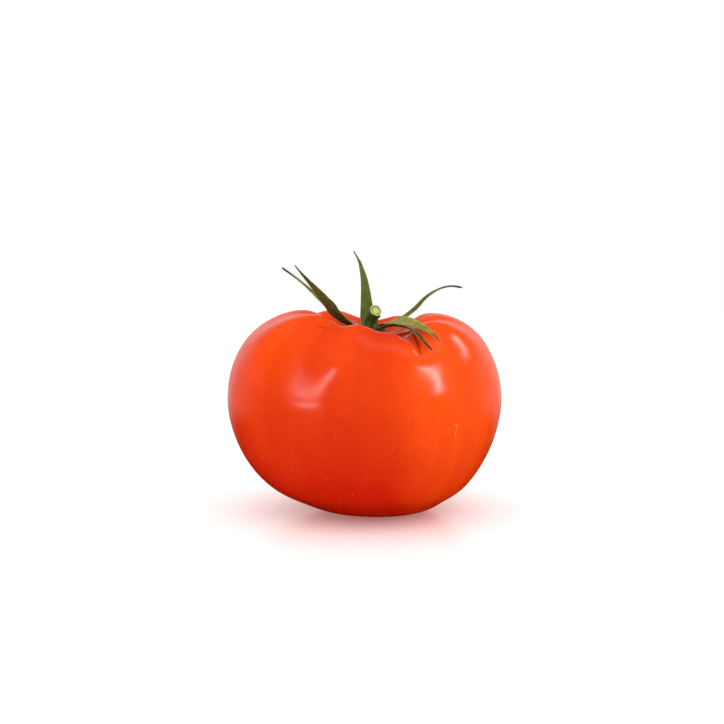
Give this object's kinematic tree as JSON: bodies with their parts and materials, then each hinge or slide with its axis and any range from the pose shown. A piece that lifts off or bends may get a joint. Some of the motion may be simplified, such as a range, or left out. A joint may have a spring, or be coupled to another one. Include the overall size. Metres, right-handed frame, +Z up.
{
  "type": "beefsteak tomato",
  "caption": "Whole ripe beefsteak tomato, broad and softly lobed, with its green calyx and a short cut stem stub. Rests on its blossom end.",
  "frame": {"origin": "on the surface that the tomato rests on, under the middle of the fruit", "axes": "+Z up, with the stem end on top; -Y is the side of the two drooping sepals and of the cut face of the stem; +X is to the right as seen from there"},
  "size_m": [0.0904, 0.0859, 0.0852],
  "materials": {
    "fruit": "smooth waxy skin, ripe orange red, soft gloss",
    "calyx": "dull green leaf with short pale hairs",
    "stem": "dark green ribbed stalk with a pale cut face"
  },
  "bodies": {
    "root": {"fruit": "fruit", "calyx": "calyx", "stem": "stem"}
  },
  "joints": []
}
